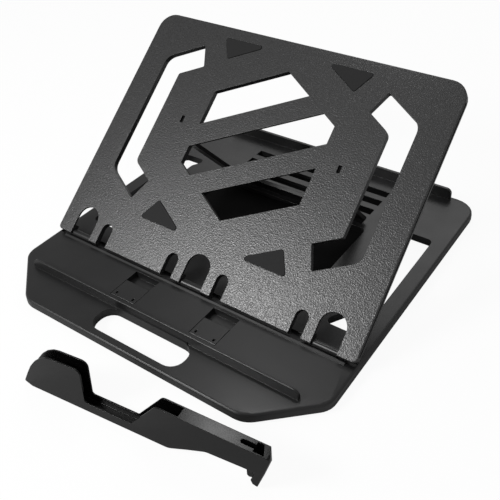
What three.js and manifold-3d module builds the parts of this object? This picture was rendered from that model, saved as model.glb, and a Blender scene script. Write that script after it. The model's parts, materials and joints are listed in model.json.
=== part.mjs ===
// A folding laptop stand in black ABS, with a loose phone holder lying in front of it.
//
// Millimetres, +Z up, +X to the user's right, -Y towards the user. The parts are drawn in a
// working frame whose zero is the middle of the hinge line (Y) on the base's deck (Z); the
// finished group is then moved so that the origin is the bottom centre of the whole object.

import * as THREE from 'three';
import { mergeVertices } from 'three/addons/utils/BufferGeometryUtils.js';
import Module from 'manifold-3d';

const wasm = await Module();
wasm.setup();

// ---------------------------------------------------------------- driving dimensions

const GAP = 0.3;                  // running clearance between neighbouring pieces
const BASE_HALF = 172;            // half the width of the base
const PANEL_HALF = 170.5;         // half the width of the top panel

// Base: a moulded deck with a skirt, chamfered at the front like half an octagon.
const BASE_FRONT = -86;
const BASE_REAR = 264;
const CHAMFER_START = -40;        // where the straight sides end
const CHAMFER_FRONT_HALF = 122;   // half the straight front edge
const BASE_DEPTH = 8;             // deck to skirt's lower edge
const DECK_WALL = 2.6;
const SKIRT_WALL = 2.4;
const FOOT_DROP = 2;              // rubber feet below the skirt
const EDGE_ROUND = 2.6;

const FOOT_PLACES = [
  [-100, -68], [100, -68], [-150, 5], [150, 5], [-148, 236], [148, 236],
];
const FOOT_NAMES = [
  'front_left', 'front_right', 'middle_left', 'middle_right', 'rear_left', 'rear_right',
];
const FOOT_PAD_RADIUS = 8;
const FOOT_RECESS = 1.2;

// Ledge and its stop ridge, in front of the hinge.
const RIDGE_FRONT = -50;
const RIDGE_THICK = 1.9;
const RIDGE_HEIGHT = 9;
const RIDGE_ROUND = 0.85;
const RIDGE_HALF = 149;
const RAMP_HALF = 40;             // ramp between the finger hole and the ridge
const RAMP_TOP = 6.2;
const GRIP_HALF = 49.5;           // finger hole through the front of the base
const GRIP_FRONT = -79;
const GRIP_REAR = -51.5;
const GRIP_ROUND = 12.5;

// Hinge line.
const HINGE_Y = 5.5;
const HINGE_Z = 2;
const KNUCKLE_RADIUS = 3.6;
const BARREL_WIDTH = 8;
const BARREL_REACH = 9;           // how far up the panel the thick bosses of the barrels go
const HINGE_STATIONS = [-140.6, 0, 140.6];
const HINGE_NAMES = ['left', 'center', 'right'];
const NOTCH_WIDTH = 25;
const NOTCH_TOP = 32;
const SLOT_STATIONS = [-112.4, -28.8, 28.8, 112.4];
const SLOT_WIDTH = 12.6;
const SLOT_TOP = 23;
const PIN_RADIUS = 1.3;
const PIN_REACH = 19.5;           // half the length of a hinge pin
const LIP_HALF = 161;             // half the lip in front of the hinge
const TROUGH_HALF = 169.3;        // half the trough that the hinge turns in
const TROUGH_NEAR = 1.5;
const TROUGH_FAR = 10.6;
const TROUGH_FLOOR = -2.2;
const LIP_PROFILE = [[-3.4, -0.5], [1.5, -0.5], [1.5, 1.3], [0.3, 1.3], [-1.4, 0.25]];
const LIP_RADII = [0, 0, 0.5, 0.5, 1];

// Two low walls along the rear edge of the deck.
const REAR_WALL = [15, 143];      // inner and outer end of each wall
const REAR_WALL_TOP = 12;
const REAR_WALL_THICK = 3;
const REAR_WALL_Y = 257.6;

// Top panel, measured up its slope from its lower edge.
const TILT = THREE.MathUtils.degToRad(39.9);
const PANEL_LENGTH = 253;
const PANEL_DEPTH = 7.6;          // rim depth
const PANEL_WALL = 2.2;
const PANEL_CORNER = 17;
const PANEL_NEAR_CORNER = 4;
const PANEL_EDGE_ROUND = 1;
const HINGE_INSET = 2.04;         // hinge axis up from the panel's lower edge
const HINGE_DROP = 6.13;          // hinge axis below the panel's top face
const VENT_CENTER = 144.4;        // centre of the hexagonal opening
const VENT_RADIUS = 78.2;
const VENT_RIB = 5.6;             // depth of the ribs round the openings
const SLOT_WALL = 1.6;            // wall round each slot, below the plate

// Support leg: a flat U-shaped frame under the panel.
const LEG_PIVOT = 130;            // up the panel's slope
const LEG_PIVOT_DROP = 4.6;       // below the panel's top face
const LEG_THICK = 3.8;
const LEG_INNER = 72;
const LEG_OUTER = 86;
const LEG_PLAY = 0.8;             // between the leg and the panel's bosses
const LEG_BOSS = 6;
const LEG_PIN_RADIUS = 1.2;
const FOOT_RADIUS = 2.2;
const FOOT_HEIGHT = 3.7;          // foot bar centre above the deck
const GROOVE_FIRST = 177;
const GROOVE_PITCH = 18;
const GROOVE_COUNT = 4;
const GROOVE_WIDTH = 10;
const GROOVE_HALF = 84;
const PIT_HALF = 92;              // recess in the deck under the panel
const PIT_NEAR = 62;
const PIT_FAR = 166;
const PIT_FLOOR = -6.2;
const GROOVE_FLOOR = -6;
const GROOVED_FAR = 242;

// Flip-up stops in the ledge.
const FLAP_CENTER = 45.9;
const FLAP_WIDTH = 27.6;
const FLAP_FRONT = -39.6;
const FLAP_REAR = -18.4;
const FLAP_THICK = 3.2;
const FLAP_NOTCH = 1.8;           // width of the two small slots through each flap
const WELL_REAR = -4.2;           // far edge of the finger wells behind the flaps

// Phone holder: two profiled walls with a slot between them, lying in front of the base.
const HOLDER_WIDTH = 10.3;
const HOLDER_WALL = 1.15;
const HOLDER_FLOOR = 3;
const HOLDER_CORNER = [-44.3, -146.35];
const HOLDER_TURN = THREE.MathUtils.degToRad(6.34);

// ---------------------------------------------------------------- materials

function plastic(color, roughness) {
  return new THREE.MeshStandardMaterial({ color, roughness, metalness: 0 });
}

const matteBlack = plastic(0x2b2b2d, 0.55);
const grainedBlack = plastic(0x333335, 0.75);
const rubberBlack = plastic(0x1a1a1b, 0.85);
const steel = new THREE.MeshStandardMaterial({ color: 0xa8aaad, roughness: 0.3, metalness: 1 });

// ---------------------------------------------------------------- solid helpers

function toSolid(geometry) {
  geometry.deleteAttribute('normal');
  geometry.deleteAttribute('uv');
  const merged = mergeVertices(geometry, 1e-4);
  return new wasm.Manifold(new wasm.Mesh({
    numProp: 3,
    vertProperties: new Float32Array(merged.attributes.position.array),
    triVerts: new Uint32Array(merged.index.array),
  }));
}

function toMesh(name, solid, material) {
  const raw = solid.getMesh();
  const geometry = new THREE.BufferGeometry();
  geometry.setAttribute('position', new THREE.BufferAttribute(raw.vertProperties, 3));
  geometry.setIndex(new THREE.BufferAttribute(raw.triVerts, 1));
  geometry.computeVertexNormals();
  const mesh = new THREE.Mesh(geometry, material);
  mesh.name = name;
  return mesh;
}

function box(x0, x1, y0, y1, z0, z1) {
  const geometry = new THREE.BoxGeometry(x1 - x0, y1 - y0, z1 - z0);
  geometry.translate((x0 + x1) / 2, (y0 + y1) / 2, (z0 + z1) / 2);
  return toSolid(geometry);
}

// A cylinder lying along X.
function rod(radius, x0, x1, y, z, sides = 24) {
  const geometry = new THREE.CylinderGeometry(radius, radius, x1 - x0, sides);
  geometry.rotateZ(Math.PI / 2);
  geometry.translate((x0 + x1) / 2, y, z);
  return toSolid(geometry);
}

// An upright cylinder.
function disc(radius, x, y, z0, z1, sides = 28) {
  const geometry = new THREE.CylinderGeometry(radius, radius, z1 - z0, sides);
  geometry.rotateX(Math.PI / 2);
  geometry.translate(x, y, (z0 + z1) / 2);
  return toSolid(geometry);
}

// An outline whose corners are rounded; radii is one number or one for each corner.
function roundedShape(points, radii, steps = 5) {
  const corners = points.map(([x, y]) => new THREE.Vector2(x, y));
  const outline = [];
  corners.forEach((corner, i) => {
    const before = corners[(i + corners.length - 1) % corners.length];
    const after = corners[(i + 1) % corners.length];
    const radius = Array.isArray(radii) ? radii[i] : radii;
    if (!radius) {
      outline.push(corner);
      return;
    }
    const toBefore = before.clone().sub(corner).normalize();
    const toAfter = after.clone().sub(corner).normalize();
    const half = Math.acos(THREE.MathUtils.clamp(toBefore.dot(toAfter), -1, 1)) / 2;
    const bisector = toBefore.clone().add(toAfter).normalize();
    const center = corner.clone().addScaledVector(bisector, radius / Math.sin(half));
    const start = corner.clone().addScaledVector(toBefore, radius / Math.tan(half)).sub(center);
    const end = corner.clone().addScaledVector(toAfter, radius / Math.tan(half)).sub(center);
    const sweep = Math.atan2(start.cross(end), start.dot(end));
    for (let k = 0; k <= steps; k += 1) {
      const spoke = start.clone().rotateAround(new THREE.Vector2(), (sweep * k) / steps);
      outline.push(spoke.add(center));
    }
  });
  return new THREE.Shape(outline);
}

// A flat-sided prism standing on the XY plane.
function prism(shape, z0, z1) {
  const geometry = new THREE.ExtrudeGeometry(shape, { depth: z1 - z0, bevelEnabled: false });
  geometry.translate(0, 0, z0);
  return toSolid(geometry);
}

// A prism along X whose outline is given as [y, z].
function prismAlongX(shape, x0, x1) {
  const geometry = new THREE.ExtrudeGeometry(shape, { depth: x1 - x0, bevelEnabled: false });
  geometry.rotateY(Math.PI / 2);
  geometry.rotateX(Math.PI / 2);
  geometry.translate(x0, 0, 0);
  return toSolid(geometry);
}

// A prism along Y whose outline is given as [x, z].
function standing(shape, y0, y1) {
  const geometry = new THREE.ExtrudeGeometry(shape, { depth: y1 - y0, bevelEnabled: false });
  geometry.rotateX(Math.PI / 2);
  geometry.translate(0, y1, 0);
  return toSolid(geometry);
}

function union(solids) {
  return solids.reduce((sum, solid) => sum.add(solid));
}

function mirrorPoints(points) {
  return points.map(([x, y]) => [-x, y]).reverse();
}

function bothSides(points) {
  return [points, mirrorPoints(points)];
}

function rectangle(x0, x1, y0, y1) {
  return [[x0, y0], [x1, y0], [x1, y1], [x0, y1]];
}

// ---------------------------------------------------------------- base

function baseOutline(inset) {
  const side = BASE_HALF - inset;
  const slant = inset * Math.tan(Math.PI / 8);
  return roundedShape([
    [-CHAMFER_FRONT_HALF + slant, BASE_FRONT + inset],
    [CHAMFER_FRONT_HALF - slant, BASE_FRONT + inset],
    [side, CHAMFER_START + slant],
    [side, BASE_REAR - inset],
    [-side, BASE_REAR - inset],
    [-side, CHAMFER_START + slant],
  ], [22, 22, 16, 20, 20, 16], 6);
}

// The deck rolls over into the skirt along a quarter round.
function baseBlank() {
  const geometry = new THREE.ExtrudeGeometry(baseOutline(EDGE_ROUND), {
    depth: BASE_DEPTH, bevelThickness: EDGE_ROUND, bevelSize: EDGE_ROUND, bevelSegments: 3,
  });
  geometry.translate(0, 0, -EDGE_ROUND - BASE_DEPTH);
  const keep = box(-400, 400, -400, 400, -BASE_DEPTH, 1);
  return toSolid(geometry).intersect(keep);
}

const SIDE_WINDOW = [[120, 33], [156, 33], [156, 184], [125, 184], [134, 168], [134, 57]];

const WINDOW_ROUND = 5;
const WEB_MARGIN = 2;             // wall left round each opening, below the deck
const RIB_HALF = 0.9;             // half the thickness of the stiffening ribs
const CROSS_RIBS_Y = [-45, 14, 248];
const LONG_RIBS_X = [-100, 0, 100];
const FOOT_BOSS_RADIUS = 10;

function gripHole(margin) {
  const outline = rectangle(-GRIP_HALF - margin, GRIP_HALF + margin,
    GRIP_FRONT - margin, GRIP_REAR + margin);
  return roundedShape(outline, GRIP_ROUND + margin, 6);
}

// The window's outline moved outwards from its own middle.
function windowWeb(outline) {
  const centerX = outline.reduce((sum, point) => sum + point[0], 0) / outline.length;
  const centerY = outline.reduce((sum, point) => sum + point[1], 0) / outline.length;
  const grown = outline.map(([x, y]) => [
    x + WEB_MARGIN * Math.sign(x - centerX), y + WEB_MARGIN * Math.sign(y - centerY)]);
  return roundedShape(grown, WINDOW_ROUND);
}

// Everything that has to stay solid below the deck: walls round the openings, ribs and bosses.
function baseWebs() {
  const low = -BASE_DEPTH;
  const high = -DECK_WALL / 2;
  const webs = [prism(gripHole(WEB_MARGIN), low, high)];
  for (const outline of bothSides(SIDE_WINDOW)) {
    webs.push(prism(windowWeb(outline), low, high));
  }
  webs.push(box(-PIT_HALF - WEB_MARGIN, PIT_HALF + WEB_MARGIN,
    PIT_NEAR - WEB_MARGIN, GROOVED_FAR, low, high));
  for (const side of [-1, 1]) {
    const center = side * FLAP_CENTER;
    const half = FLAP_WIDTH / 2 + 2 * WEB_MARGIN;
    webs.push(box(center - half, center + half, FLAP_FRONT - 5, WELL_REAR + WEB_MARGIN, low, high));
  }
  for (const y of CROSS_RIBS_Y) {
    webs.push(box(-BASE_HALF + 2, BASE_HALF - 2, y - RIB_HALF, y + RIB_HALF, low, high));
  }
  for (const x of LONG_RIBS_X) {
    webs.push(box(x - RIB_HALF, x + RIB_HALF, BASE_FRONT / 2, PIT_NEAR, low, high));
  }
  for (const [x, y] of FOOT_PLACES) {
    webs.push(disc(FOOT_BOSS_RADIUS, x, y, low, high));
  }
  return webs;
}

function ridge() {
  const back = RIDGE_FRONT + RIDGE_THICK;
  const profile = roundedShape([
    [RIDGE_FRONT - 1, -1], [back + 0.6, -1], [back, RIDGE_HEIGHT], [RIDGE_FRONT, RIDGE_HEIGHT],
  ], [0, 0, RIDGE_ROUND, RIDGE_ROUND], 4);
  const bar = prismAlongX(profile, -RIDGE_HALF, RIDGE_HALF);
  const face = roundedShape(rectangle(-RIDGE_HALF, RIDGE_HALF, -3, RIDGE_HEIGHT), [0, 0, 6, 6]);
  return bar.intersect(standing(face, RIDGE_FRONT - 4, back + 4));
}

// In front of the finger hole's rear edge the ridge's foot is a ramp that leads into the hole.
function gripRamp() {
  const profile = new THREE.Shape([
    new THREE.Vector2(GRIP_REAR - 1.5, -1),
    new THREE.Vector2(RIDGE_FRONT + 1.5, -1),
    new THREE.Vector2(RIDGE_FRONT + 1.5, RAMP_TOP),
  ]);
  return prismAlongX(profile, -RAMP_HALF, RAMP_HALF);
}

function rearWalls() {
  return bothSides(rectangle(...REAR_WALL, -1, REAR_WALL_TOP)).map((outline) => {
    const radii = outline.map(([, z]) => (z > 0 ? 5.5 : 0));
    return standing(roundedShape(outline, radii), REAR_WALL_Y, REAR_WALL_Y + REAR_WALL_THICK);
  });
}

function knuckle(x) {
  const half = NOTCH_WIDTH / 2 - 0.6;
  return union([
    rod(KNUCKLE_RADIUS, x - half, x + half, HINGE_Y, HINGE_Z),
    box(x - half, x + half, HINGE_Y - 2.6, HINGE_Y + 2.6, -5, HINGE_Z),
  ]);
}

const FLAP_PIVOT_Y = FLAP_FRONT + FLAP_THICK / 2;
const FLAP_PIVOT_Z = -FLAP_THICK / 2;
const FLAP_PIN_RADIUS = 0.8;
const FLAP_PIN_REACH = FLAP_WIDTH / 2 + 3;
const WELL_FLOOR = -5.8;

// The bed that the flap lies in, the well behind it and the bore for its pin.
function flapCut(side) {
  const center = side * FLAP_CENTER;
  const half = FLAP_WIDTH / 2 + GAP + 0.1;
  const bed = box(center - half, center + half, FLAP_FRONT - GAP, FLAP_REAR + 1,
    -FLAP_THICK - 0.5, 3);
  const roll = rod(FLAP_THICK / 2 + 0.6, center - half, center + half,
    FLAP_PIVOT_Y, FLAP_PIVOT_Z, 20);
  const well = prismAlongX(new THREE.Shape([
    new THREE.Vector2(FLAP_REAR, WELL_FLOOR),
    new THREE.Vector2(WELL_REAR - 1.6, WELL_FLOOR),
    new THREE.Vector2(WELL_REAR, 0),
    new THREE.Vector2(WELL_REAR, 3),
    new THREE.Vector2(FLAP_REAR, 3),
  ]), center - half, center + half);
  const pinBore = rod(FLAP_PIN_RADIUS + GAP, center - FLAP_PIN_REACH - GAP,
    center + FLAP_PIN_REACH + GAP, FLAP_PIVOT_Y, FLAP_PIVOT_Z, 16);
  return [bed, roll, well, pinBore];
}

// One cross groove for the leg's foot bar: a shallow near side and a steep far side.
function legGroove(index) {
  const y = GROOVE_FIRST + index * GROOVE_PITCH;
  const half = GROOVE_WIDTH / 2;
  const profile = roundedShape([
    [y + half, 3], [y + half, -1], [y + 3.6, GROOVE_FLOOR], [y - 1, GROOVE_FLOOR],
    [y - half, -1], [y - half, 3],
  ], [0, 0, 2, 2, 0, 0], 3);
  return prismAlongX(profile, -GROOVE_HALF, GROOVE_HALF);
}

function baseCuts() {
  const cuts = [prism(gripHole(0), -20, 5)];
  for (const outline of bothSides(SIDE_WINDOW)) {
    cuts.push(prism(roundedShape(outline, WINDOW_ROUND), -20, 5));
  }
  const pit = rectangle(-PIT_HALF, PIT_HALF, PIT_NEAR, PIT_FAR);
  cuts.push(prism(roundedShape(pit, 6), PIT_FLOOR, 5));
  for (let k = 0; k < GROOVE_COUNT; k += 1) {
    cuts.push(legGroove(k));
  }
  cuts.push(...flapCut(-1), ...flapCut(1));
  for (const x of HINGE_STATIONS) {
    cuts.push(rod(PIN_RADIUS + GAP, x - 14, x + 14, HINGE_Y, HINGE_Z));
  }
  for (const [x, y] of FOOT_PLACES) {
    cuts.push(disc(FOOT_PAD_RADIUS + GAP, x, y, -BASE_DEPTH - 1, -BASE_DEPTH + FOOT_RECESS));
  }
  return union(cuts);
}

// The deck rises into a thin lip before it drops into the trough that the hinge turns in.
function lipAndTrough(deck) {
  const lip = prismAlongX(roundedShape(LIP_PROFILE, LIP_RADII), -LIP_HALF, LIP_HALF);
  const floor = box(-TROUGH_HALF + 1.8, TROUGH_HALF - 1.8, TROUGH_NEAR - 1.1, TROUGH_FAR + 1.1,
    TROUGH_FLOOR - 2, TROUGH_FLOOR + 1.2);
  const trough = box(-TROUGH_HALF, TROUGH_HALF, TROUGH_NEAR, TROUGH_FAR, TROUGH_FLOOR, 2);
  return union([deck, lip, floor]).subtract(trough);
}

function baseTray() {
  const pocket = prism(baseOutline(SKIRT_WALL), -BASE_DEPTH - 1, -DECK_WALL);
  const hollow = pocket.subtract(union(baseWebs()));
  const deck = union([baseBlank().subtract(hollow), ridge(), gripRamp(), ...rearWalls()]);
  const whole = union([lipAndTrough(deck), ...HINGE_STATIONS.map(knuckle)]);
  return whole.subtract(baseCuts());
}

function basePieces() {
  const pieces = [toMesh('base_tray', baseTray(), matteBlack)];
  FOOT_PLACES.forEach(([x, y], i) => {
    const pad = disc(FOOT_PAD_RADIUS, x, y,
      -BASE_DEPTH - FOOT_DROP, -BASE_DEPTH + FOOT_RECESS - GAP);
    pieces.push(toMesh(`foot_${FOOT_NAMES[i]}`, pad, rubberBlack));
  });
  HINGE_STATIONS.forEach((x, i) => {
    const pin = rod(PIN_RADIUS, x - PIN_REACH, x + PIN_REACH, HINGE_Y, HINGE_Z, 16);
    pieces.push(toMesh(`hinge_pin_${HINGE_NAMES[i]}`, pin, steel));
  });
  return pieces;
}

// ---------------------------------------------------------------- flip-up stops

function stopFlap(side) {
  const center = side * FLAP_CENTER;
  const half = FLAP_WIDTH / 2;
  const leaf = box(center - half, center + half, FLAP_PIVOT_Y, FLAP_REAR, -FLAP_THICK, 0);
  const roll = rod(FLAP_THICK / 2, center - half, center + half, FLAP_PIVOT_Y, FLAP_PIVOT_Z, 20);
  const notches = [-1, 1].map((end) => {
    const x = center + end * (half - 4.2);
    return box(x - FLAP_NOTCH / 2, x + FLAP_NOTCH / 2, FLAP_PIVOT_Y + 1.2, FLAP_PIVOT_Y + 4.2,
      -FLAP_THICK - 1, 1);
  });
  const bore = rod(FLAP_PIN_RADIUS + GAP, center - half - 1, center + half + 1,
    FLAP_PIVOT_Y, FLAP_PIVOT_Z, 16);
  return leaf.add(roll).subtract(union(notches)).subtract(bore);
}

function stopPieces() {
  const pieces = [];
  for (const side of [-1, 1]) {
    const name = side < 0 ? 'left' : 'right';
    const center = side * FLAP_CENTER;
    const pin = rod(FLAP_PIN_RADIUS, center - FLAP_PIN_REACH, center + FLAP_PIN_REACH,
      FLAP_PIVOT_Y, FLAP_PIVOT_Z, 12);
    pieces.push(toMesh(`stop_flap_${name}`, stopFlap(side), matteBlack));
    pieces.push(toMesh(`stop_pin_${name}`, pin, steel));
  }
  return pieces;
}

// ---------------------------------------------------------------- top panel

// In the panel's own frame Y runs up the slope from the hinge axis and Z is square to the plate.
const PANEL_TOP = HINGE_DROP;

function upSlope(distance) {
  return distance - HINGE_INSET;
}

function panelShape(points, radii, steps) {
  return roundedShape(points.map(([x, s]) => [x, upSlope(s)]), radii, steps);
}

function hexagon(radius) {
  return Array.from({ length: 6 }, (_, i) => {
    const angle = Math.PI / 2 + (i * Math.PI) / 3;
    return [radius * Math.cos(angle), VENT_CENTER + radius * Math.sin(angle)];
  });
}

// Bracket slots: half widths, and heights up the slope, of the corners.
const BRACKET_OUTER = 141.6;
const BRACKET_INNER = 118;
const BRACKET_TOP_OUTER = 205.4;
const BRACKET_TOP_INNER = 191;
const BRACKET_END_OUTER = 103.4;
const BRACKET_END_INNER = 93.4;
const BRACKET_MIDDLE = VENT_CENTER - 3.2;
const BRACKET_RADII = [8, 1.5, 1.5, 13, 13, 1.5, 1.5, 3];

// A bracket-shaped slot that follows the hexagon: a long upright with two arms at 30 degrees.
function bracketSlot(margin) {
  const rise = Math.tan(Math.PI / 6);
  const outer = BRACKET_OUTER + margin;
  const inner = BRACKET_INNER - margin;
  const topOuter = BRACKET_TOP_OUTER + margin * rise;
  const topInner = BRACKET_TOP_INNER - margin * rise;
  const endOuterX = BRACKET_END_OUTER - margin;
  const endInnerX = BRACKET_END_INNER - margin;
  const upper = [
    [inner, topInner],
    [endInnerX, topInner + (inner - endInnerX) * rise],
    [endOuterX, topOuter + (outer - endOuterX) * rise],
    [outer, topOuter],
  ];
  const lower = upper.map(([x, s]) => [x, 2 * BRACKET_MIDDLE - s]).reverse();
  return [...upper, ...lower];
}

function notchOutline(x, width, top, margin) {
  const half = width / 2 + margin;
  const crown = [];
  const steps = 12;
  for (let k = 0; k <= steps; k += 1) {
    const angle = (Math.PI * k) / steps;
    crown.push([x + half * Math.cos(angle), top - width / 2 + half * Math.sin(angle)]);
  }
  return [[x - half, -20], [x + half, -20], ...crown];
}

// Two parallel ribs cross the hexagon at 30 degrees, from side to side.
const VENT_BAR_WIDTH = 21;
const VENT_KEEL_WIDTH = 17.4;
const VENT_BAR_OFFSET = 30;

function ventBar(width, depth, side) {
  const bar = new THREE.BoxGeometry(200, width, depth);
  bar.rotateZ(Math.PI / 6);
  bar.translate(0, upSlope(VENT_CENTER) + side * VENT_BAR_OFFSET, PANEL_TOP - depth / 2);
  return toSolid(bar);
}

function ventRibs() {
  const bars = [-1, 1].flatMap((side) => [
    ventBar(VENT_BAR_WIDTH, PANEL_WALL, side), ventBar(VENT_KEEL_WIDTH, VENT_RIB, side)]);
  return union(bars).intersect(prism(panelShape(hexagon(VENT_RADIUS + 1.5), 0), -10, 20));
}

// The grip pads are right-angled triangles; the long side faces the panel's near edge.
const PAD_LONG_SIDE = [32.5, 84.3];
const PAD_APEX = 71.4;
const PAD_HEIGHT = 22.4;
const PAD_UPPER = 241.5;
const PAD_LOWER = 41.6;
const PAD_ROUND = 2.5;
const PAD_RECESS = 0.9;
const PAD_PROUD = 0.5;

function padOutlines() {
  const [inner, outer] = PAD_LONG_SIDE;
  const upper = [
    [inner, PAD_UPPER], [PAD_APEX, PAD_UPPER - PAD_HEIGHT], [outer, PAD_UPPER],
  ];
  const lower = [
    [outer, PAD_LOWER], [PAD_APEX, PAD_LOWER + PAD_HEIGHT], [inner, PAD_LOWER],
  ];
  return [upper, lower].flatMap((points) => bothSides(points));
}

// A triangle drawn in by the same margin on every side, about the centre of its inner circle.
function shrinkTriangle(points, margin) {
  const corners = points.map(([x, y]) => new THREE.Vector2(x, y));
  const sides = corners.map((_, i) => corners[(i + 1) % 3].distanceTo(corners[(i + 2) % 3]));
  const around = sides[0] + sides[1] + sides[2];
  const center = new THREE.Vector2();
  corners.forEach((corner, i) => center.addScaledVector(corner, sides[i] / around));
  const innerRadius = (2 * Math.abs(THREE.ShapeUtils.area(corners))) / around;
  const shrink = 1 - margin / innerRadius;
  return corners.map((corner) => corner.sub(center).multiplyScalar(shrink).add(center).toArray());
}

// Blind slits beside the hexagonal opening.
const SLIT_X = 89;
const SLIT_WIDTH = 3.4;
const SLIT_LOW = 143.3;
const SLIT_HIGH = 150.7;
const SLIT_DEPTH = 1.5;

// A shallow groove along each side wall, just below the rounded top edge.
const SIDE_GROOVE_DROP = 1.7;
const SIDE_GROOVE_TALL = 3.3;
const SIDE_GROOVE_DEEP = 0.9;

function sideGrooves() {
  const top = PANEL_TOP - SIDE_GROOVE_DROP;
  const low = top - SIDE_GROOVE_TALL;
  const near = upSlope(6);
  const far = upSlope(PANEL_LENGTH - PANEL_CORNER);
  return [
    box(-PANEL_HALF - 1, -PANEL_HALF + SIDE_GROOVE_DEEP, near, far, low, top),
    box(PANEL_HALF - SIDE_GROOVE_DEEP, PANEL_HALF + 1, near, far, low, top),
  ];
}

// The plate with its rim: a rounded top edge all round.
function panelBlank() {
  const round = PANEL_EDGE_ROUND;
  const near = PANEL_NEAR_CORNER - round;
  const far = PANEL_CORNER - round;
  const outline = rectangle(-PANEL_HALF + round, PANEL_HALF - round, round, PANEL_LENGTH - round);
  const geometry = new THREE.ExtrudeGeometry(panelShape(outline, [near, near, far, far], 7), {
    depth: PANEL_DEPTH, bevelThickness: round, bevelSize: round, bevelSegments: 2,
  });
  geometry.translate(0, 0, PANEL_TOP - PANEL_DEPTH - round);
  const keep = box(-200, 200, -20, 280, PANEL_TOP - PANEL_DEPTH, PANEL_TOP + 1);
  return toSolid(geometry).intersect(keep);
}

// What stays solid under the plate: walls round the openings and bosses for the leg's pins.
function panelRibs() {
  const low = PANEL_TOP - PANEL_DEPTH;
  const ribLow = PANEL_TOP - VENT_RIB;
  const ribHigh = PANEL_TOP - PANEL_WALL / 2;
  const nearStrip = box(-PANEL_HALF, PANEL_HALF, upSlope(0), 40, low, PANEL_TOP);
  const ribs = [prism(panelShape(hexagon(VENT_RADIUS + 1.8), 0), ribLow, ribHigh)];
  for (const outline of bothSides(bracketSlot(SLOT_WALL))) {
    ribs.push(prism(panelShape(outline, BRACKET_RADII), ribLow, ribHigh));
  }
  for (const x of HINGE_STATIONS) {
    const half = NOTCH_WIDTH / 2 + BARREL_WIDTH;
    ribs.push(box(x - half, x + half, upSlope(0), upSlope(BARREL_REACH), low, ribHigh));
  }
  for (const x of SLOT_STATIONS) {
    const outline = notchOutline(x, SLOT_WIDTH, SLOT_TOP, SLOT_WALL);
    ribs.push(prism(panelShape(outline, 0), ribLow, ribHigh).intersect(nearStrip));
  }
  const pivotY = upSlope(LEG_PIVOT);
  for (const side of [-1, 1]) {
    const middle = side * (LEG_OUTER + LEG_PLAY + LEG_BOSS / 2);
    ribs.push(box(middle - LEG_BOSS / 2, middle + LEG_BOSS / 2, pivotY - 5, pivotY + 5,
      ribLow - 1.2, ribHigh));
  }
  return union(ribs);
}

function panelCuts() {
  const cuts = [prism(panelShape(hexagon(VENT_RADIUS), 0), -20, 20)];
  for (const outline of bothSides(bracketSlot(0))) {
    cuts.push(prism(panelShape(outline, BRACKET_RADII), -20, 20));
  }
  for (const x of HINGE_STATIONS) {
    cuts.push(prism(panelShape(notchOutline(x, NOTCH_WIDTH, NOTCH_TOP, 0), 0), -20, 20));
  }
  for (const x of SLOT_STATIONS) {
    cuts.push(prism(panelShape(notchOutline(x, SLOT_WIDTH, SLOT_TOP, 0), 0), -20, 20));
  }
  for (const x of [-SLIT_X, SLIT_X]) {
    cuts.push(box(x - SLIT_WIDTH / 2, x + SLIT_WIDTH / 2, upSlope(SLIT_LOW), upSlope(SLIT_HIGH),
      PANEL_TOP - SLIT_DEPTH, 20));
  }
  for (const outline of padOutlines()) {
    cuts.push(prism(panelShape(outline, PAD_ROUND, 4), PANEL_TOP - PAD_RECESS, PANEL_TOP + 2));
  }
  return union([...cuts, ...sideGrooves()]);
}

// Hinge barrels flank each notch and take the ends of the hinge pins.
function hingeBarrels() {
  return HINGE_STATIONS.flatMap((x) => [-1, 1].map((side) => {
    const middle = x + side * (NOTCH_WIDTH / 2 + BARREL_WIDTH / 2);
    const half = BARREL_WIDTH / 2 - 0.2;
    return rod(KNUCKLE_RADIUS - 0.4, middle - half, middle + half, 0, 0);
  }));
}

function panelBores() {
  const bores = HINGE_STATIONS.map((x) => (
    rod(PIN_RADIUS + GAP, x - PIN_REACH - 0.5, x + PIN_REACH + 0.5, 0, 0)));
  for (const side of [-1, 1]) {
    const middle = side * (LEG_OUTER + 0.7);
    bores.push(rod(LEG_PIN_RADIUS + GAP, middle - 4.7, middle + 4.7,
      upSlope(LEG_PIVOT), PANEL_TOP - LEG_PIVOT_DROP, 16));
  }
  return union(bores);
}

function topPanel() {
  const wall = PANEL_WALL;
  const inside = rectangle(-PANEL_HALF + wall, PANEL_HALF - wall, wall, PANEL_LENGTH - wall);
  const pocket = prism(panelShape(inside, [2, 2, 15, 15], 7),
    PANEL_TOP - PANEL_DEPTH - 1, PANEL_TOP - wall);
  const shell = panelBlank().subtract(pocket.subtract(panelRibs()));
  const plate = shell.subtract(panelCuts()).add(ventRibs());
  return union([plate, ...hingeBarrels()]).subtract(panelBores());
}

function panelPieces() {
  const pieces = [toMesh('top_panel', topPanel(), grainedBlack)];
  const padNames = ['upper_right', 'upper_left', 'lower_right', 'lower_left'];
  padOutlines().forEach((outline, i) => {
    const shape = panelShape(shrinkTriangle(outline, GAP), PAD_ROUND - GAP, 4);
    const pad = prism(shape, PANEL_TOP - PAD_RECESS + GAP, PANEL_TOP + PAD_PROUD);
    pieces.push(toMesh(`grip_pad_${padNames[i]}`, pad, rubberBlack));
  });
  for (const side of [-1, 1]) {
    const ends = [side * (LEG_INNER + 3), side * (LEG_OUTER + 4.8)].sort((a, b) => a - b);
    const pin = rod(LEG_PIN_RADIUS, ends[0], ends[1],
      upSlope(LEG_PIVOT), PANEL_TOP - LEG_PIVOT_DROP, 16);
    pieces.push(toMesh(`leg_pin_${side < 0 ? 'left' : 'right'}`, pin, steel));
  }
  return pieces;
}

// ---------------------------------------------------------------- support leg

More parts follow.
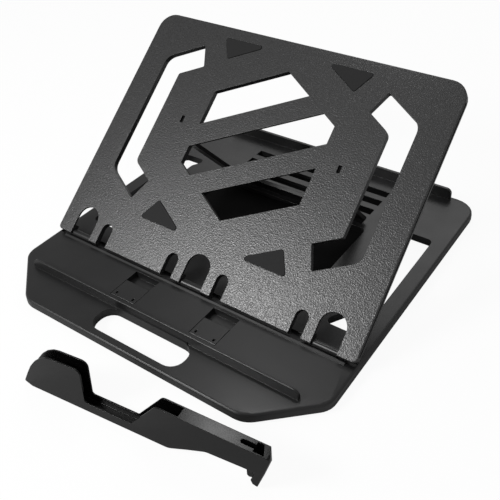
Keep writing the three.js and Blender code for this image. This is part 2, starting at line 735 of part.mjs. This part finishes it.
// Where the leg's pivot and its foot are in the working frame, with the panel raised.
function legGeometry() {
  const along = upSlope(LEG_PIVOT);
  const above = HINGE_DROP - LEG_PIVOT_DROP;
  const pivotY = HINGE_Y + along * Math.cos(TILT) - above * Math.sin(TILT);
  const pivotZ = HINGE_Z + along * Math.sin(TILT) + above * Math.cos(TILT);
  const reachY = GROOVE_FIRST - pivotY;
  const reachZ = FOOT_HEIGHT - pivotZ;
  return {
    length: Math.hypot(reachY, reachZ),
    turn: Math.atan2(reachZ, reachY) - TILT,
  };
}

function supportLeg(length) {
  const arms = [-1, 1].map((side) => {
    const x0 = Math.min(side * LEG_INNER, side * LEG_OUTER);
    const arm = box(x0, x0 + LEG_OUTER - LEG_INNER, 0, length, -LEG_THICK / 2, LEG_THICK / 2);
    const head = rod(LEG_THICK / 2, x0, x0 + LEG_OUTER - LEG_INNER, 0, 0);
    return arm.add(head);
  });
  const webShape = roundedShape([
    [-LEG_INNER - 1, length - 19], [-LEG_INNER + 10, length - 9], [LEG_INNER - 10, length - 9],
    [LEG_INNER + 1, length - 19], [LEG_INNER + 1, length], [-LEG_INNER - 1, length],
  ], [0, 4, 4, 0, 0, 0]);
  const web = prism(webShape, -LEG_THICK / 2, LEG_THICK / 2);
  const foot = rod(FOOT_RADIUS, -LEG_OUTER + 4, LEG_OUTER - 4, length, 0);
  const bores = [-1, 1].map((side) => {
    const middle = side * (LEG_OUTER + LEG_INNER + 3.4) / 2;
    return rod(LEG_PIN_RADIUS + GAP, middle - 6.3, middle + 6.3, 0, 0, 16);
  });
  return union([...arms, web, foot]).subtract(union(bores));
}

// ---------------------------------------------------------------- phone holder

// The side wall seen from the front: two tall cheeks with a gap for the phone's edge between
// them, then a long arm that ends in a slanted hook.
function holderOutline() {
  return roundedShape([
    [0, 0], [132, 0], [149, 8.4], [166, 16.2], [197, 17.6], [206, 17.6], [201.8, 7.5], [203.2, 3.6],
    [207, 2.4], [217.6, 35.6], [216.8, 39], [126.3, 42.6], [100, 9.6], [56, 9.8], [58.8, 46.4],
    [31, 45.4], [25, 44], [18, 40], [11.5, 34], [5.4, 26], [-0.7, 15.3], [-7, 3.4],
  ], [2, 14, 0, 12, 0, 1, 1, 1, 1, 2, 1.5, 6, 1.5, 2.5, 5, 6, 8, 12, 12, 12, 12, 1.5], 4);
}

// Places along the holder, from its near left corner.
const SLOT_FAR = 145;             // far end of the slot for the phone
const SLOT_STEP = 12;             // height of the slot's floor at that end
const CLIP_NEAR = 204.5;          // pocket behind the end wall
const CLIP_FLOOR = 22;
const END_SLANT = 4.5;            // how far the end wall leans back across the holder
const END_FAR = 218.4;            // where the end wall's outer face starts
const END_WALL = 5;
const KEY_NEAR = 195;             // narrow slot that runs into the pocket
const KEY_WIDTH = 3.6;
const ARM_HOLLOW = [150, 190];    // underside of the arm, cored out
const PRONG = [[196.5, 19], [196.5, 4.5], [198, 3], [201, 4], [202, 19]];

// The pocket behind the slanted end wall, and the whole holder's end, seen from above.
function slantedEnd(near, far, y0, y1, z0, z1) {
  const lean = (y) => (END_SLANT * y) / HOLDER_WIDTH;
  const outline = [[near, y0], [far - lean(y0), y0], [far - lean(y1), y1], [near, y1]];
  return prism(new THREE.Shape(outline.map(([u, v]) => new THREE.Vector2(u, v))), z0, z1);
}

function phoneHolder() {
  const innerFar = HOLDER_WIDTH - HOLDER_WALL;
  const middle = HOLDER_WIDTH / 2;
  const body = standing(holderOutline(), 0, HOLDER_WIDTH)
    .intersect(slantedEnd(-20, END_FAR, 0, HOLDER_WIDTH, -1, 60));
  const slotShape = new THREE.Shape([
    [-20, HOLDER_FLOOR + 7], [0, HOLDER_FLOOR], [SLOT_FAR - 7, HOLDER_FLOOR],
    [SLOT_FAR, SLOT_STEP], [SLOT_FAR, 70], [-20, 70],
  ].map(([u, z]) => new THREE.Vector2(u, z)));
  const slot = standing(slotShape, HOLDER_WALL, innerFar);
  const pocket = slantedEnd(CLIP_NEAR, END_FAR - END_WALL, HOLDER_WALL, innerFar, CLIP_FLOOR, 60);
  const keyhole = box(KEY_NEAR, CLIP_NEAR + 1, middle - KEY_WIDTH / 2, middle + KEY_WIDTH / 2,
    CLIP_FLOOR + 2, 60).add(disc(KEY_WIDTH / 2, KEY_NEAR, middle, CLIP_FLOOR + 2, 60, 16));
  const hollow = box(...ARM_HOLLOW, HOLDER_WALL, innerFar, -5, 33);
  const prong = standing(new THREE.Shape(PRONG.map(([u, z]) => new THREE.Vector2(u, z))),
    HOLDER_WIDTH - 6, HOLDER_WIDTH);
  return body.subtract(slot).subtract(pocket).subtract(keyhole).subtract(hollow).add(prong);
}

// ---------------------------------------------------------------- assembly

const working = new THREE.Group();
for (const piece of [...basePieces(), ...stopPieces()]) {
  working.add(piece);
}

const panelGroup = new THREE.Group();
panelGroup.position.set(0, HINGE_Y, HINGE_Z);
panelGroup.rotation.x = TILT;
for (const piece of panelPieces()) {
  panelGroup.add(piece);
}
working.add(panelGroup);

const { length: legLength, turn: legTurn } = legGeometry();
const legGroup = new THREE.Group();
legGroup.position.set(0, upSlope(LEG_PIVOT), HINGE_DROP - LEG_PIVOT_DROP);
legGroup.rotation.x = legTurn;
legGroup.add(toMesh('support_leg', supportLeg(legLength), matteBlack));
panelGroup.add(legGroup);

const holderGroup = new THREE.Group();
holderGroup.position.set(HOLDER_CORNER[0], HOLDER_CORNER[1], -BASE_DEPTH - FOOT_DROP);
holderGroup.rotation.z = HOLDER_TURN;
holderGroup.add(toMesh('phone_holder', phoneHolder(), matteBlack));
working.add(holderGroup);

// Move the bottom centre of the whole object to the origin.
working.updateMatrixWorld(true);
const extent = new THREE.Box3().setFromObject(working, true);
const middle = extent.getCenter(new THREE.Vector3());
working.position.set(-middle.x, -middle.y, -extent.min.z);

const stand = new THREE.Group();
stand.name = 'laptop_stand';
stand.add(working);

export default stand;
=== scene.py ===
"""A folding laptop stand in black plastic, with a loose phone holder in front of it.

The pieces are refined copies of the frame's parts: every moulded edge gets its small round, and
each plastic, rubber and steel surface gets its own grain.
"""
import json
import math

import bmesh
import bpy
from mathutils import Matrix, Vector


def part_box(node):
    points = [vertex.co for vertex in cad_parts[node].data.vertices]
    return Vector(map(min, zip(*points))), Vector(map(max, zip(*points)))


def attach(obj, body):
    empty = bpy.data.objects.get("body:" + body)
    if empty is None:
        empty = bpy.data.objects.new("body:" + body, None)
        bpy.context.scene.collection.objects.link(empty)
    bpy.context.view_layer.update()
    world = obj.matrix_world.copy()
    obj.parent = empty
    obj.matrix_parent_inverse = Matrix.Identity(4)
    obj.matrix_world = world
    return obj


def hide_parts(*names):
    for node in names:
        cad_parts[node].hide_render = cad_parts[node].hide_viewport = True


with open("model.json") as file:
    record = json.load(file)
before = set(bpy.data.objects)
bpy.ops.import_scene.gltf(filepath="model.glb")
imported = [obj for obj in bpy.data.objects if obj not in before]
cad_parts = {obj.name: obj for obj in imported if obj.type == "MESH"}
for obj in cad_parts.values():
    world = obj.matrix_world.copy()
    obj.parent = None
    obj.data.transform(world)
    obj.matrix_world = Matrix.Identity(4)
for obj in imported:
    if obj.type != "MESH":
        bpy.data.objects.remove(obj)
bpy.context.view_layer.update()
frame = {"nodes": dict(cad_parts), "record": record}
MM = 0.001

# The panel's hinge, as the frame has it at rest.
DECK_REACH = 0.264                # from the deck's zero line to the base's rear edge
HINGE_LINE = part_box("base_tray")[1][1] - DECK_REACH
HINGE_Y = HINGE_LINE + 0.0055
HINGE_Z = 0.012
HINGE_INSET = 0.00204             # hinge axis up from the panel's near edge
TILT = math.radians(39.9)

# How a frame part is refined.
WELD = 2e-6                       # corners closer than this are one corner
FLAT_ANGLE = math.radians(0.6)    # facets that differ by less lie in one plane
ROUNDED_ANGLE = math.radians(28)  # edges sharper than this are rounded
EDGE_ROUND = 0.5 * MM             # the softening that the materials lay over an edge

# Where painted shade goes: the panel's two blind slits, and the pit in the base, are the shaded
# recesses.
SLIT_X = (0.0872, 0.0908)
SLIT_UP = (0.1432, 0.1508)        # up the panel from its near edge
SLIT_OUT = (0.0044, 0.0060)       # out from the hinge axis, square to the panel
PIT_HALF_WIDTH = 0.0925
PIT_ALONG = (0.061, 0.241)        # from the deck's zero line towards the rear
PIT_HEIGHT = (0.0036, 0.0078)

# ------------------------------------------------------------------ camera

CAMERA_PLACE = Vector((0.34715, HINGE_LINE - 0.35581, 0.45438))
CAMERA_AZIMUTH = 34.918
CAMERA_ELEVATION = 34.674
CAMERA_ROLL = -1.934
CAMERA_LENS = 52.116
CAMERA_SENSOR = 36
CAMERA_SHIFT = (-0.0506, -0.1132)
CAMERA_NEAR = 0.01


def add_camera():
    data = bpy.data.cameras.new("camera")
    data.lens = CAMERA_LENS
    data.sensor_width = CAMERA_SENSOR
    data.shift_x, data.shift_y = CAMERA_SHIFT
    data.clip_start = CAMERA_NEAR
    camera = bpy.data.objects.new("camera", data)
    bpy.context.scene.collection.objects.link(camera)
    turn = Matrix.Rotation(math.radians(CAMERA_AZIMUTH), 4, "Z")
    tip = Matrix.Rotation(math.radians(90 - CAMERA_ELEVATION), 4, "X")
    roll = Matrix.Rotation(math.radians(CAMERA_ROLL), 4, "Z")
    camera.matrix_world = Matrix.Translation(CAMERA_PLACE) @ turn @ tip @ roll
    bpy.context.scene.camera = camera


# ------------------------------------------------------------------ light and floor

WORLD_STRENGTH = 0.42
FLOOR_HALF = 6
FLOOR_DROP = 0.0004               # below the feet, so that the two surfaces don't share a plane
FLOOR_ALBEDO = 0.5
FLOOR_GLOW = 1.06
FLOOR_GLOW_SHARE = 0.88           # how much of what the camera sees is glow

# name: place, target, size and power
LAMPS = {
    "key": ((-0.53, -0.92, 0.84), (0.05, -0.045, 0.022), (0.42, 0.34), 12.5),
    "back": ((-0.3, 0.9, 0.75), (0, 0.05, 0), (0.9, 0.4), 1.5),
    "top": ((-0.15, 0.19, 0.70), (0.14, -0.18, 0.04), (0.10, 0.10), 0.5),
}


def add_area_light(name, place, target, size, power):
    data = bpy.data.lights.new(name, "AREA")
    data.shape = "RECTANGLE"
    data.size, data.size_y = size
    data.energy = power
    lamp = bpy.data.objects.new(name, data)
    bpy.context.scene.collection.objects.link(lamp)
    lamp.location = place
    lamp.rotation_euler = (Vector(target) - Vector(place)).to_track_quat("-Z", "Y").to_euler()


def add_world(strength):
    world = bpy.data.worlds.new("studio")
    world.use_nodes = True
    background = world.node_tree.nodes["Background"]
    background.inputs["Color"].default_value = (1, 1, 1, 1)
    background.inputs["Strength"].default_value = strength
    bpy.context.scene.world = world


def floor_material():
    """Pale paper that is lit from below as well, so that only a trace of shadow shows on it."""
    material, tree, shader = new_material("floor_white")
    shader.inputs["Base Color"].default_value = (FLOOR_ALBEDO, FLOOR_ALBEDO, FLOOR_ALBEDO, 1)
    shader.inputs["Roughness"].default_value = 0.9
    shader.inputs["Specular IOR Level"].default_value = 0.1
    glow = tree.nodes.new("ShaderNodeEmission")
    glow.inputs["Strength"].default_value = FLOOR_GLOW
    seen = tree.nodes.new("ShaderNodeLightPath")
    share = tree.nodes.new("ShaderNodeMath")
    share.operation = "MULTIPLY"
    share.inputs[1].default_value = FLOOR_GLOW_SHARE
    mix = tree.nodes.new("ShaderNodeMixShader")
    tree.links.new(seen.outputs["Is Camera Ray"], share.inputs[0])
    tree.links.new(share.outputs["Value"], mix.inputs["Fac"])
    tree.links.new(shader.outputs["BSDF"], mix.inputs[1])
    tree.links.new(glow.outputs["Emission"], mix.inputs[2])
    tree.links.new(mix.outputs["Shader"], tree.nodes["Material Output"].inputs["Surface"])
    return material


def add_floor():
    grid = bmesh.new()
    bmesh.ops.create_grid(grid, x_segments=8, y_segments=8, size=FLOOR_HALF)
    mesh = bpy.data.meshes.new("floor")
    grid.to_mesh(mesh)
    grid.free()
    floor = bpy.data.objects.new("floor", mesh)
    bpy.context.scene.collection.objects.link(floor)
    floor.location.z = -FLOOR_DROP
    floor.data.materials.append(floor_material())


# ------------------------------------------------------------------ materials

def new_material(name):
    material = bpy.data.materials.new(name)
    material.use_nodes = True
    tree = material.node_tree
    shader = tree.nodes["Principled BSDF"]
    return material, tree, shader


def object_noise(tree, scale, detail):
    coordinates = tree.nodes.new("ShaderNodeTexCoord")
    noise = tree.nodes.new("ShaderNodeTexNoise")
    noise.inputs["Scale"].default_value = scale
    noise.inputs["Detail"].default_value = detail
    tree.links.new(coordinates.outputs["Object"], noise.inputs["Vector"])
    return noise


def ramp(tree, source, low, high, from_low=0.3, from_high=0.7):
    spread = tree.nodes.new("ShaderNodeMapRange")
    spread.inputs["From Min"].default_value = from_low
    spread.inputs["From Max"].default_value = from_high
    spread.inputs["To Min"].default_value = low
    spread.inputs["To Max"].default_value = high
    tree.links.new(source, spread.inputs["Value"])
    return spread.outputs["Result"]


def grey_mix(tree, factor, dark, light):
    mix = tree.nodes.new("ShaderNodeMix")
    mix.data_type = "RGBA"
    mix.inputs["A"].default_value = (dark, dark, dark * 1.02, 1)
    mix.inputs["B"].default_value = (light, light, light * 1.02, 1)
    tree.links.new(factor, mix.inputs["Factor"])
    return mix.outputs["Result"]


def add_bump(tree, shader, height, distance, strength):
    """Surface grain laid over softly rounded edges."""
    edges = tree.nodes.new("ShaderNodeBevel")
    edges.samples = 6
    edges.inputs["Radius"].default_value = EDGE_ROUND
    bump = tree.nodes.new("ShaderNodeBump")
    bump.inputs["Distance"].default_value = distance
    bump.inputs["Strength"].default_value = strength
    tree.links.new(height, bump.inputs["Height"])
    tree.links.new(edges.outputs["Normal"], bump.inputs["Normal"])
    tree.links.new(bump.outputs["Normal"], shader.inputs["Normal"])


def satin_plastic(name, dark, light, rough_low, rough_high, specular, grain=0.25):
    """Smooth moulded ABS: a fine satin grain, faint flow marks and slightly uneven gloss."""
    material, tree, shader = new_material(name)
    flow = object_noise(tree, 38, 3)
    fine = object_noise(tree, 1900, 2)
    shader.inputs["Specular IOR Level"].default_value = specular
    tree.links.new(grey_mix(tree, flow.outputs["Fac"], dark, light), shader.inputs["Base Color"])
    tree.links.new(ramp(tree, flow.outputs["Fac"], rough_low, rough_high),
                   shader.inputs["Roughness"])
    add_bump(tree, shader, fine.outputs["Fac"], 0.00006, grain)
    return material


def grained_plastic(name):
    """Spark-eroded ABS: a coarse speckle of tiny pits and crests that catch the light."""
    material, tree, shader = new_material(name)
    speckle = object_noise(tree, 880, 1)
    shader.inputs["Specular IOR Level"].default_value = 0.6
    crest = ramp(tree, speckle.outputs["Fac"], 0, 1, 0.36, 0.64)
    tree.links.new(grey_mix(tree, crest, 0.001, 0.03), shader.inputs["Base Color"])
    tree.links.new(ramp(tree, speckle.outputs["Fac"], 0.46, 0.24), shader.inputs["Roughness"])
    add_bump(tree, shader, speckle.outputs["Fac"], 0.0003, 0.85)
    return material


def soft_rubber(name):
    """Smooth matt rubber with a fine grain."""
    material, tree, shader = new_material(name)
    fine = object_noise(tree, 1500, 2)
    tree.links.new(grey_mix(tree, fine.outputs["Fac"], 0.006, 0.014), shader.inputs["Base Color"])
    tree.links.new(ramp(tree, fine.outputs["Fac"], 0.66, 0.82), shader.inputs["Roughness"])
    shader.inputs["Specular IOR Level"].default_value = 0.28
    add_bump(tree, shader, fine.outputs["Fac"], 0.00008, 0.35)
    return material


def drawn_steel(name):
    """Bright drawn rod with uneven gloss."""
    material, tree, shader = new_material(name)
    streaks = object_noise(tree, 900, 3)
    shader.inputs["Metallic"].default_value = 1.0
    tree.links.new(grey_mix(tree, streaks.outputs["Fac"], 0.42, 0.62), shader.inputs["Base Color"])
    tree.links.new(ramp(tree, streaks.outputs["Fac"], 0.25, 0.42), shader.inputs["Roughness"])
    add_bump(tree, shader, streaks.outputs["Fac"], 0.00003, 0.3)
    return material


# ------------------------------------------------------------------ pieces

def plain_copy(node, name):
    """A copy of a frame part that belongs to no body yet."""
    piece = frame["nodes"][node].copy()
    piece.data = piece.data.copy()
    piece.name = name
    piece.parent = None
    piece.matrix_world = Matrix.Identity(4)
    for key in list(piece.keys()):
        del piece[key]
    bpy.context.scene.collection.objects.link(piece)
    return piece


def merge_flat_faces(mesh):
    """Joins the facets that lie in one plane and cuts them afresh into well-shaped triangles."""
    form = bmesh.new()
    form.from_mesh(mesh)
    bmesh.ops.remove_doubles(form, verts=form.verts, dist=WELD)
    bmesh.ops.dissolve_limit(form, angle_limit=FLAT_ANGLE, verts=form.verts,
                             edges=form.edges, use_dissolve_boundaries=False)
    bmesh.ops.triangulate(form, faces=form.faces, ngon_method="BEAUTY")
    form.to_mesh(mesh)
    form.free()
    mesh.materials.clear()


def refined_copy(node, name, round_mm):
    """A copy of a frame part whose sharp edges carry a small moulded round."""
    piece = plain_copy(node, name)
    merge_flat_faces(piece.data)
    bevel = piece.modifiers.new("round", "BEVEL")
    bevel.width = round_mm * MM
    bevel.segments = 2
    bevel.limit_method = "ANGLE"
    bevel.angle_limit = ROUNDED_ANGLE
    bevel.use_clamp_overlap = True
    bevel.miter_outer = "MITER_ARC"
    weights = piece.modifiers.new("normals", "WEIGHTED_NORMAL")
    weights.keep_sharp = True
    piece.data.polygons.foreach_set("use_smooth", [True] * len(piece.data.polygons))
    apply_modifiers(piece)
    return piece


def apply_modifiers(piece):
    bpy.context.view_layer.update()
    evaluated = piece.evaluated_get(bpy.context.evaluated_depsgraph_get())
    mesh = bpy.data.meshes.new_from_object(evaluated)
    piece.modifiers.clear()
    piece.data = mesh


def body_of(node):
    for body, members in frame["record"]["behaviour"]["bodies"].items():
        if node in members:
            return body
    return None


def place_piece(piece, node, material):
    """The piece stands for the node: it rides the node's body and has the given material."""
    piece.data.materials.clear()
    piece.data.materials.append(material)
    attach(piece, body_of(node))
    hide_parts(node)


satin = satin_plastic("satin_abs", 0.006, 0.011, 0.30, 0.36, 0.48)
holder_black = satin_plastic("holder_abs", 0.001, 0.003, 0.19, 0.24, 0.24, grain=0.06)
# Painted shade: a near-black, dull plastic for the faces deep in the slits and the pit, where
# shadow falls.
painted_recess_shade = satin_plastic("recess_painted_shade", 0.002, 0.004, 0.85, 0.9, 0.1)
grained = grained_plastic("grained_abs")
rubber = soft_rubber("rubber")
steel = drawn_steel("steel")

REFINED = {
    "base_tray": ("base_tray_moulding", 0.45, "matte_plastic", satin),
    "top_panel": ("top_panel_moulding", 0.35, "grained_plastic", grained),
    "support_leg": ("support_leg_moulding", 0.4, "matte_plastic", satin),
    "phone_holder": ("phone_holder_moulding", 0.35, "matte_plastic", holder_black),
    "stop_flap_left": ("stop_flap_left_moulding", 0.15, "matte_plastic", satin),
    "stop_flap_right": ("stop_flap_right_moulding", 0.15, "matte_plastic", satin),
}


def paint_recess_shade(piece, material, holds):
    """Paints shade into a recess: the faces whose middle lies in it get a darker, duller material
    in place of the shadow that falls there.
    """
    piece.data.materials.append(material)
    index = len(piece.data.materials) - 1
    for face in piece.data.polygons:
        if holds(face.center):
            face.material_index = index


def within(value, limits):
    return limits[0] < value < limits[1]


def in_slit(place):
    """Whether a place is inside one of the panel's two blind slits."""
    y = place.y - HINGE_Y
    z = place.z - HINGE_Z
    up = y * math.cos(TILT) + z * math.sin(TILT) + HINGE_INSET
    out = z * math.cos(TILT) - y * math.sin(TILT)
    return within(abs(place.x), SLIT_X) and within(up, SLIT_UP) and within(out, SLIT_OUT)


def in_pit(place):
    """Whether a place is low in the recess or the cross grooves of the base's rear half."""
    along = place.y - HINGE_LINE
    return (abs(place.x) < PIT_HALF_WIDTH and within(along, PIT_ALONG)
            and within(place.z, PIT_HEIGHT))


RECESSES = {"top_panel": in_slit, "base_tray": in_pit}


def build_mouldings():
    for node, (name, round_mm, slot, material) in REFINED.items():
        piece = refined_copy(node, name, round_mm)
        place_piece(piece, node, material)
        if node in RECESSES:
            paint_recess_shade(piece, painted_recess_shade, RECESSES[node])


def build_pads_and_feet():
    for node in frame["nodes"]:
        if node.startswith(("grip_pad_", "foot_")):
            piece = refined_copy(node, node + "_moulding", 0.25)
            place_piece(piece, node, rubber)


def build_pins():
    for node in frame["nodes"]:
        if "_pin_" in node:
            piece = refined_copy(node, node + "_rod", 0.2)
            place_piece(piece, node, steel)


build_mouldings()
build_pads_and_feet()
build_pins()

add_camera()
add_floor()
add_world(WORLD_STRENGTH)
for lamp_name, lamp_terms in LAMPS.items():
    add_area_light(lamp_name, *lamp_terms)

bpy.context.scene.view_settings.view_transform = "Standard"
